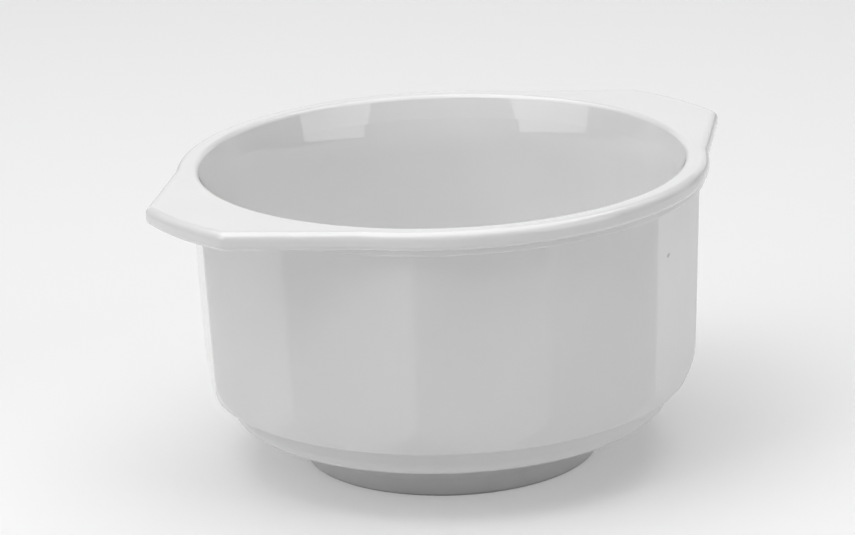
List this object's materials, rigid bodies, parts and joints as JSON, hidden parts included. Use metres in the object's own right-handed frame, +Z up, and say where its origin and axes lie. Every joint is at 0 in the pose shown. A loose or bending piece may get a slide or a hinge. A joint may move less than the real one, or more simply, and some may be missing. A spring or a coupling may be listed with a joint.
{
  "type": "lug soup bowl",
  "caption": "White glazed porcelain soup bowl with a faceted wall, an overhanging rim with a flat lug handle on either side, a stepped base for stacking and a foot ring.",
  "frame": {"origin": "under the middle of the foot ring, on the surface the bowl stands on", "axes": "+Z up along the bowl's axis, +X along the line through the two lugs"},
  "size_m": [0.129, 0.107, 0.0614],
  "materials": {
    "faceted_wall": "gloss glaze",
    "rim_collar": "gloss glaze",
    "left_lug": "gloss glaze",
    "right_lug": "gloss glaze",
    "stepped_base": "gloss glaze",
    "foot_ring": "gloss glaze, bearing ring wiped bare"
  },
  "bodies": {
    "root": {"faceted_wall": "faceted_wall", "rim_collar": "rim_collar", "left_lug": "left_lug", "right_lug": "right_lug", "stepped_base": "stepped_base", "foot_ring": "foot_ring"}
  },
  "joints": []
}
